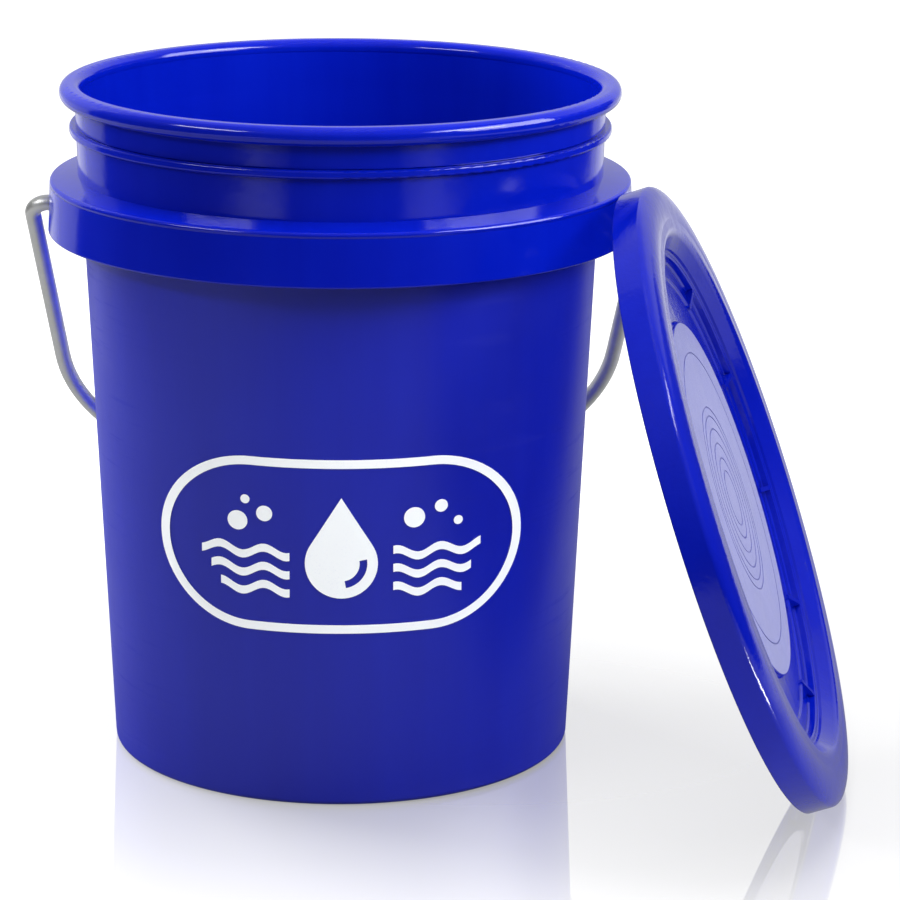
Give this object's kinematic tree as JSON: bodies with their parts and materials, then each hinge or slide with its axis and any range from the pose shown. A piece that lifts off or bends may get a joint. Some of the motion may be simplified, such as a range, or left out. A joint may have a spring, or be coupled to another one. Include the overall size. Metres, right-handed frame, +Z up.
{
  "type": "wash bucket",
  "caption": "Tapered round plastic wash bucket with rolled rim, hanging collar, swinging wire bail with a turning grip, printed badge and a recessed press-on lid leaning on its side.",
  "frame": {"origin": "centre of the bucket's underside, on the floor plane", "axes": "+Z up along the bucket's centre line; X runs along the bail's pivot line through both ears, with the leaning lid on the +X side; -Y is the front with the printed badge, and the bail hangs behind on +Y"},
  "size_m": [0.4485, 0.4302, 0.368],
  "materials": {
    "blue_plastic": "satin",
    "lid_plastic": "gloss",
    "white_print": "satin",
    "wire": "zinc plated",
    "grip_plastic": "satin",
    "seal_rubber": "matte"
  },
  "bodies": {
    "bucket_body": {"bucket": "blue_plastic", "printed_badge": "white_print"},
    "bail_body": {"bail": "wire"},
    "grip_body": {"grip": "grip_plastic"},
    "lid_body": {"lid": "lid_plastic", "lid_gasket": "seal_rubber"}
  },
  "joints": [
    {"name": "bail_swing", "type": "hinge", "parent": "bucket_body", "child": "bail_body", "pos_m": [0, 0, 0.301], "axis": [1, 0, 0], "range_deg": [0, 200]},
    {"name": "grip_spin", "type": "hinge", "parent": "bail_body", "child": "grip_body", "pos_m": [0, 0.14402, 0.11331], "axis": [1, 0, 0], "continuous": true},
    {"name": "lid_tip", "type": "hinge", "parent": "bucket_body", "child": "lid_body", "pos_m": [0.26438, -0.11464, 0.00749], "axis": [0.1841, 0.9829, 0], "range_deg": [0, 109.7]}
  ]
}
